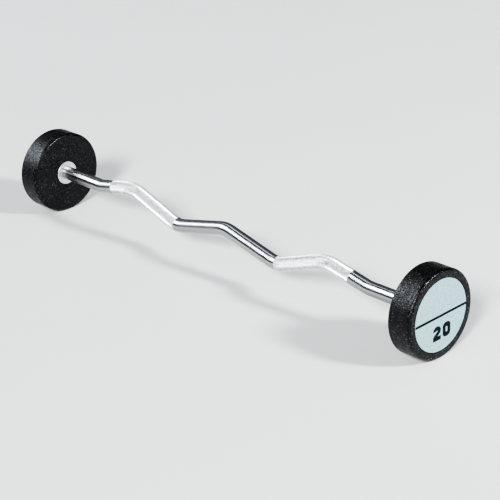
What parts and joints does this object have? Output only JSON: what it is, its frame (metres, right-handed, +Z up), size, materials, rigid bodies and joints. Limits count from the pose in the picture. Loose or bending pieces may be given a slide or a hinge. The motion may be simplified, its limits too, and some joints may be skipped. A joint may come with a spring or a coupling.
{
  "type": "ez curl barbell",
  "caption": "Fixed-weight EZ curl barbell: a cranked, chromed steel bar with knurled angled grips and a round rubber-cased weight head keyed and bolted on each end.",
  "frame": {"origin": "on the floor under the middle of the bar, midway between the heads", "axes": "+X along the bar to the right head, +Z up; the bar's bends lie in the upright XZ plane with the outer peaks up"},
  "size_m": [1.094, 0.172, 0.172],
  "materials": {
    "chromed_bar": "polished",
    "polished_steel": "polished",
    "core_steel": "matte",
    "black_rubber": "matte",
    "fastener_steel": "satin",
    "foam_tape": "matte",
    "pale_disc": "satin"
  },
  "bodies": {
    "root": {"ez_bar": "chromed_bar", "left_collar": "polished_steel", "left_weight_core": "core_steel", "left_rubber_casing": "black_rubber", "left_key_pin": "fastener_steel", "left_clamp_washer": "fastener_steel", "left_spring_washer": "fastener_steel", "left_end_bolt": "fastener_steel", "left_disc_tape": "foam_tape", "left_face_disc": "pale_disc", "right_collar": "polished_steel", "right_weight_core": "core_steel", "right_rubber_casing": "black_rubber", "right_key_pin": "fastener_steel", "right_clamp_washer": "fastener_steel", "right_spring_washer": "fastener_steel", "right_end_bolt": "fastener_steel", "right_disc_tape": "foam_tape", "right_face_disc": "pale_disc"}
  },
  "joints": []
}
